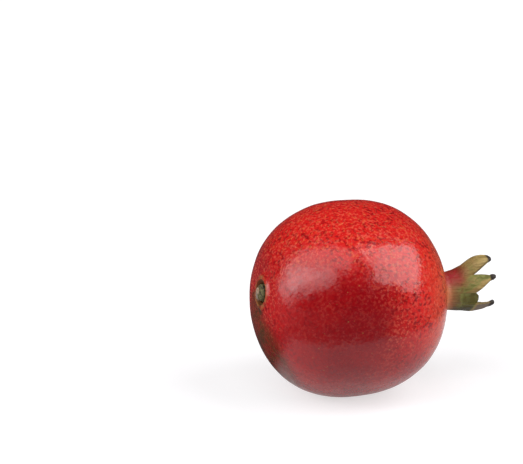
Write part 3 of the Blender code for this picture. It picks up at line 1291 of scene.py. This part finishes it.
@dataclass
class StamenTuft:
    """The dried stamens round the dead style, on one low disc on the cup's floor."""

    shape: FruitShape
    base: float = 0.0431
    disc_radius: float = 0.0052
    disc_edge: float = 0.0012
    disc_crown: float = 0.0019
    disc_steps: int = 64
    rings: tuple[StamenRing, ...] = (
        StamenRing(0.0045, 30, 0.0079),
        StamenRing(0.0037, 24, 0.0075),
        StamenRing(0.0028, 18, 0.0070),
        StamenRing(0.0018, 11, 0.0061),
    )
    thread_radius: float = 0.00017
    thread_sides: int = 6
    thread_cuts: int = 7
    thread_taper: float = 0.6
    head_radius: float = 0.00042
    head_length: float = 1.5
    bow: float = 0.10
    spread: tuple[float, float] = (-0.0010, 0.0004)
    shortest: float = 0.80
    stray: float = 0.3
    style_radius: float = 0.00055
    style_tip: tuple[float, float, float] = (0.0004, -0.0003, 0.0085)
    seed: int = 8

    def straight_thread(self) -> bpy.types.Mesh:
        """A tapered thread of length 1 and radius 1 that stands on the origin."""
        shell = bmesh.new()
        bmesh.ops.create_cone(
            shell,
            cap_ends=True,
            segments=self.thread_sides,
            radius1=1,
            radius2=self.thread_taper,
            depth=1,
            matrix=Matrix.Translation((0, 0, 0.5)),
        )
        upright = [edge for edge in shell.edges if edge.verts[0].co.z != edge.verts[1].co.z]
        bmesh.ops.subdivide_edges(shell, edges=upright, cuts=self.thread_cuts)
        mesh = bpy.data.meshes.new("straight_thread")
        shell.to_mesh(mesh)
        shell.free()
        return mesh

    def thread(
        self, tuft: bmesh.types.BMesh, foot: Vector, tip: Vector, radius: float, kink: Vector
    ) -> None:
        """One thread from the disc to its tip.

        Args:
            tuft: The mesh to add it to.
            foot: Where it starts, inside the disc.
            tip: Where it ends.
            radius: How thick it is at its foot.
            kink: How far its middle is from a straight line.
        """
        before = set(tuft.verts)
        tuft.from_mesh(bpy.data.meshes["straight_thread"])
        span = tip - foot
        turn = span.to_track_quat("Z", "Y")
        for vertex in set(tuft.verts) - before:
            share = vertex.co.z
            aside = turn @ Vector((vertex.co.x, vertex.co.y, 0)) * radius
            vertex.co = foot + span * share + aside + kink * math.sin(math.pi * share)

    def head(self, tuft: bmesh.types.BMesh, tip: Vector, towards: Vector, size: float) -> None:
        """The shrunken head of one stamen.

        Args:
            tuft: The mesh to add it to.
            tip: Where its thread ends.
            towards: The way its long side points.
            size: How large it is, as a share of the usual size.
        """
        layer = tuft.verts.layers.float[Mark.HEAD.value]
        radius = self.head_radius * size
        stretch = Matrix.Diagonal((radius, radius * 0.7, radius * self.head_length, 1))
        turn = towards.to_track_quat("Z", "Y").to_matrix().to_4x4()
        made = bmesh.ops.create_icosphere(
            tuft, subdivisions=2, radius=1, matrix=Matrix.Translation(tip) @ turn @ stretch
        )["verts"]
        for vertex in made:
            vertex[layer] = 1
            pinch = noise.noise(vertex.co / 0.0005)
            vertex.co += (vertex.co - tip) * 0.35 * pinch

    def build(self) -> bpy.types.Object:
        """The dressed tuft, in the place of its solid."""
        draw = random.Random(self.seed)
        self.straight_thread()
        edge = self.base + self.disc_edge
        disc = [
            Vector((0, self.base + self.disc_crown)),
            Vector((self.disc_radius * 0.6, self.base + self.disc_crown * 0.9)),
            Vector((self.disc_radius, edge)),
            Vector((self.disc_radius, self.base)),
            Vector((0, self.base)),
        ]
        disc = rounded(disc, 2)
        tuft = turned(disc, self.disc_steps, {Mark.HEAD: [0.0] * len(disc)})
        root = Vector((0, 0, self.base + self.disc_edge / 2))
        for ring in self.rings:
            for i in range(ring.count):
                turn = math.tau * (i + draw.uniform(-self.stray, self.stray)) / ring.count
                outwards = Vector((math.cos(turn), math.sin(turn), 0))
                length = ring.length * draw.uniform(self.shortest, 1)
                reach = ring.radius + draw.uniform(*self.spread)
                tip = outwards * reach + Vector((0, 0, self.base + length))
                foot = root + outwards * ring.radius
                sideways = Vector((-outwards.y, outwards.x, 0)) * draw.uniform(-0.0005, 0.0005)
                kink = outwards * ring.radius * self.bow + sideways
                self.thread(tuft, foot, tip, self.thread_radius, kink)
                towards = (tip - foot + kink * draw.uniform(-2, 4)).normalized()
                self.head(tuft, tip, towards, draw.uniform(0.75, 1.1))
        top = Vector(self.style_tip) + Vector((0, 0, self.base))
        self.thread(tuft, root, top, self.style_radius, Vector((0.0002, 0, 0)))
        self.head(tuft, top, Vector((1, 0, 0.2)), 1.4)
        reshape(tuft, self.shape.calyx_bend)
        tuft.transform(self.shape.laid_down)
        piece = finished("dried_stamens", tuft, StamenFinish().build())
        stand_for(piece, Node.STAMENS)
        return piece


@dataclass(frozen=True)
class Softbox:
    """A large soft light that faces the fruit.

    The direction is as the camera sees it from its own side: to its right, away from it, and up.
    """

    name: str
    direction: Way
    distance: float
    size: tuple[float, float]
    roll: float
    radiance: float

    def hang(self, target: Vector, view: "Viewpoint") -> None:
        """Puts the light in the scene.

        Args:
            target: What it points at.
            view: The camera's side, which the direction counts from.
        """
        data = bpy.data.lights.new(self.name, "AREA")
        data.shape = "RECTANGLE"
        data.size, data.size_y = self.size
        data.energy = self.radiance * math.pi * self.size[0] * self.size[1]
        lamp = bpy.data.objects.new(self.name, data)
        bpy.context.scene.collection.objects.link(lamp)
        right, away, up = (Vector(axis) for axis in view.level_axes())
        across, depth, rise = self.direction
        towards = (right * across + away * depth + up * rise).normalized()
        lamp.location = target + towards * self.distance
        rolled = Quaternion((0, 0, 1), self.roll)
        lamp.rotation_euler = (towards.to_track_quat("Z", "Y") @ rolled).to_euler()
        lamp.visible_camera = False


@dataclass(frozen=True)
class Viewpoint:
    """The camera, at the photograph's viewing angle."""

    image_width: int = 523
    image_height: int = 464
    centre_pixel: tuple[float, float] = (348.4, 297.4)
    metres_per_pixel: float = 0.000427
    azimuth: float = math.radians(-20)
    elevation: float = math.radians(20)
    distance: float = 1.3
    sensor: float = 36

    def level_axes(self) -> tuple[Vector, Vector, Vector]:
        """The level axes of the camera's side.

        Returns:
            To the camera's right, away from it, and up.
        """
        away = Vector((-math.sin(self.azimuth), math.cos(self.azimuth), 0))
        up = Vector((0, 0, 1))
        return away.cross(up), away, up

    def build(self, target: Vector) -> bpy.types.Object:
        """Places the camera.

        Args:
            target: The point that shows at the centre pixel.

        Returns:
            The camera.
        """
        right, away, up = self.level_axes()
        back = -away * math.cos(self.elevation) + up * math.sin(self.elevation)
        upright = back.cross(right)
        across = self.centre_pixel[0] - self.image_width / 2
        below = self.centre_pixel[1] - self.image_height / 2
        aim = target - right * across * self.metres_per_pixel
        aim += upright * below * self.metres_per_pixel
        data = bpy.data.cameras.new("photo_view")
        data.sensor_width = self.sensor
        data.lens = self.sensor * self.distance / (self.metres_per_pixel * self.image_width)
        data.dof.use_dof = False
        camera = bpy.data.objects.new("photo_view", data)
        bpy.context.scene.collection.objects.link(camera)
        camera.location = target + back * self.distance
        camera.rotation_euler = (camera.location - aim).to_track_quat("Z", "Y").to_euler()
        bpy.context.scene.camera = camera
        return camera


@dataclass(frozen=True)
class Studio:
    """The pale floor, the soft lights and the dim room round them."""

    view: Viewpoint
    target: Vector
    floor_radius: float = 12.0
    floor_steps: int = 128
    floor_colour: Colour = (0.42, 0.415, 0.43)
    floor_glow: float = 0.64
    far_floor: tuple[float, float] = (0.4, 2.0)
    bounced_glow: float = 0.22
    mirrored_glow: float = 0.35
    sheet_centre: float = 0.015
    sheet_radius: float = 0.102
    sheet_fade: float = 0.022
    shaded_way: tuple[float, float] = (-0.66, 0.75)
    shaded_from: float = 0.012
    shaded_fade: float = 0.022
    room: Colour = (0.03, 0.03, 0.032)
    backdrop: Colour = (1.0, 1.0, 1.0)
    lights: tuple[Softbox, ...] = (
        Softbox("left_box", (-0.534, -0.283, 0.796), 2.4, (4.60, 1.64), math.radians(53.4), 2.15),
        Softbox("low_box", (-0.798, -0.417, 0.436), 2.4, (1.08, 4.94), math.radians(-56.3), 2.6),
        Softbox("right_box", (0.765, -0.118, 0.632), 2.4, (2.60, 2.20), math.radians(46), 3.8),
    )

    def floor(self) -> None:
        """The plain pale floor, which the camera sees as an even white sheet.

        The fruit's gloss mirrors only the lit part near it, as in the photograph.
        """
        paint = Paint("pale_floor")
        right, away, _ = self.view.level_axes()
        reach = paint.add("ShaderNodeVectorMath", operation="LENGTH")
        paint.feed(reach.inputs[0], paint.centred(right * self.sheet_centre))
        aside = paint.add("ShaderNodeVectorMath", operation="DOT_PRODUCT")
        paint.feed(aside.inputs[0], paint.place)
        paint.feed(aside.inputs[1], right * self.shaded_way[0] + away * self.shaded_way[1])
        edge = self.sheet_radius + self.sheet_fade
        beyond = paint.fade(reach.outputs["Value"], self.sheet_radius, edge)
        depth = self.shaded_from + self.shaded_fade
        shaded = paint.fade(aside.outputs["Value"], self.shaded_from, depth)
        rays = paint.add("ShaderNodeLightPath").outputs
        # Painted shade: to glossy rays the floor is dark beyond a small sheet round the fruit and on its
        # shaded side.
        dim = paint.both(paint.join("MAXIMUM", beyond, shaded), rays["Is Glossy Ray"])
        glow = paint.blend(rays["Is Glossy Ray"], (self.bounced_glow,) * 3, (self.mirrored_glow,) * 3)
        far = paint.fade(reach.outputs["Value"], *self.far_floor)
        seen = paint.blend(far, (self.floor_glow,) * 3, self.backdrop)
        glow = paint.blend(rays["Is Camera Ray"], glow, seen)
        finish = paint.finish(
            base_color=paint.blend(dim, self.floor_colour, self.room),
            emission_color=paint.blend(dim, glow, self.room),
            emission_strength=1.0,
            roughness=0.7,
            specular_ior_level=0.2,
        )
        shell = bmesh.new()
        bmesh.ops.create_circle(
            shell, cap_ends=True, segments=self.floor_steps, radius=self.floor_radius
        )
        finished("floor", shell, finish)

    def surroundings(self) -> None:
        """The dim room, which the camera sees as a pale backdrop."""
        world = bpy.data.worlds.new("room")
        world.use_nodes = True
        tree = world.node_tree
        seen = tree.nodes.new("ShaderNodeLightPath").outputs["Is Camera Ray"]
        colour = tree.nodes.new("ShaderNodeMix")
        colour.data_type = "RGBA"
        colour.inputs[6].default_value = (*self.room, 1)
        colour.inputs[7].default_value = (*self.backdrop, 1)
        tree.links.new(seen, colour.inputs[0])
        tree.links.new(colour.outputs[2], tree.nodes["Background"].inputs["Color"])
        bpy.context.scene.world = world

    def build(self) -> None:
        """Sets up floor, room, lights and camera."""
        self.floor()
        self.surroundings()
        for light in self.lights:
            light.hang(self.target, self.view)
        self.view.build(self.target)
        bpy.context.scene.view_settings.view_transform = "Standard"


def report(piece: bpy.types.Object) -> None:
    """Logs one finished piece."""
    log.info("%s: %d faces", piece.name, len(piece.data.polygons))


def main() -> None:
    """Builds the studio and the pomegranate."""
    logging.basicConfig(level=logging.INFO, format="%(message)s")
    shape = FruitShape()
    Studio(Viewpoint(), shape.centre).build()
    for part in (Rind(shape), StemStub(shape), StamenTuft(shape)):
        report(part.build())


if __name__ == "__main__":
    main()
